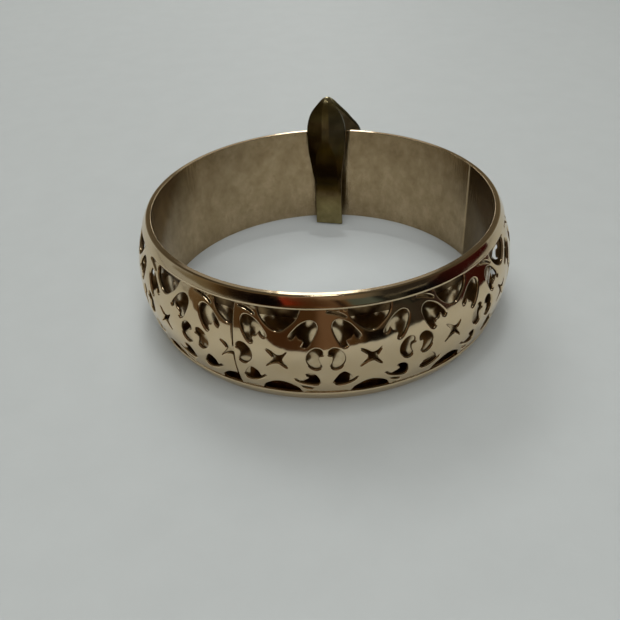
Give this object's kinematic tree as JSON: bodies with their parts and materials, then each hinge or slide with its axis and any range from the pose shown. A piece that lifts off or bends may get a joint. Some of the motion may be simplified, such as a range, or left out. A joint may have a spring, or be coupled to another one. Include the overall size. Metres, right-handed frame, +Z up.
{
  "type": "pierced bangle with a brass clip",
  "caption": "Rigid domed bangle of pale gold-toned metal, its outer sheet pierced with curls and crosses between plain rims, with a folded antique-brass clip over the back.",
  "frame": {"origin": "on the wrist axis, level with the bottom rim that the bangle rests on", "axes": "+Z up along the wrist axis, -Y towards the front that the picture shows, +X to its right"},
  "size_m": [0.0708, 0.073, 0.0282],
  "materials": {
    "liner_gold": "pale gold plating, satin inside the band and polished on the rims",
    "pierced_gold": "pale gold plating, mirror-polished",
    "antique_brass": "dark antique brass with worn, brighter edges"
  },
  "bodies": {
    "root": {"inner_band": "liner_gold", "pierced_band": "pierced_gold", "back_clip": "antique_brass"}
  },
  "joints": []
}
